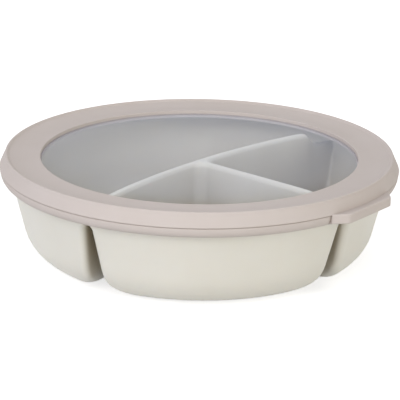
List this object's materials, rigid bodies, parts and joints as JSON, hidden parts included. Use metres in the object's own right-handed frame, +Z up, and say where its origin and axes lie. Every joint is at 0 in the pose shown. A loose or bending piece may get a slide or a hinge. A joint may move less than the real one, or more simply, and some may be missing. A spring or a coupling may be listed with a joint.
{
  "type": "bento bowl",
  "caption": "Round shallow lunch bowl with hollow dividers between its compartments and a lift-off lid: a clear window in a soft rim with a pull tab.",
  "frame": {"origin": "centre of the underside, on the surface that the bowl stands on", "axes": "+Z up, -Y towards the front, with the pull tab at the front right"},
  "size_m": [0.205, 0.205, 0.0545],
  "materials": {
    "bowl_plastic": "fine matte, warm off-white",
    "soft_rim": "soft matte, pinkish grey",
    "clear_window": "clear, slightly milky"
  },
  "bodies": {
    "bowl": {"bowl": "bowl_plastic"},
    "lid": {"lid_rim": "soft_rim", "lid_window": "clear_window"},
    "tab": {"pull_tab": "soft_rim"}
  },
  "joints": [
    {"name": "lid_lift", "type": "slide", "parent": "bowl", "child": "lid", "axis": [0, 0, 1], "range_m": [0, 0.06]},
    {"name": "tab_flex", "type": "hinge", "parent": "lid", "child": "tab", "pos_m": [0.08176, -0.06206, 0.0471], "axis": [-0.6046, -0.7965, 0], "range_deg": [0, 25], "stiffness_Nm_per_rad": 0.02}
  ]
}
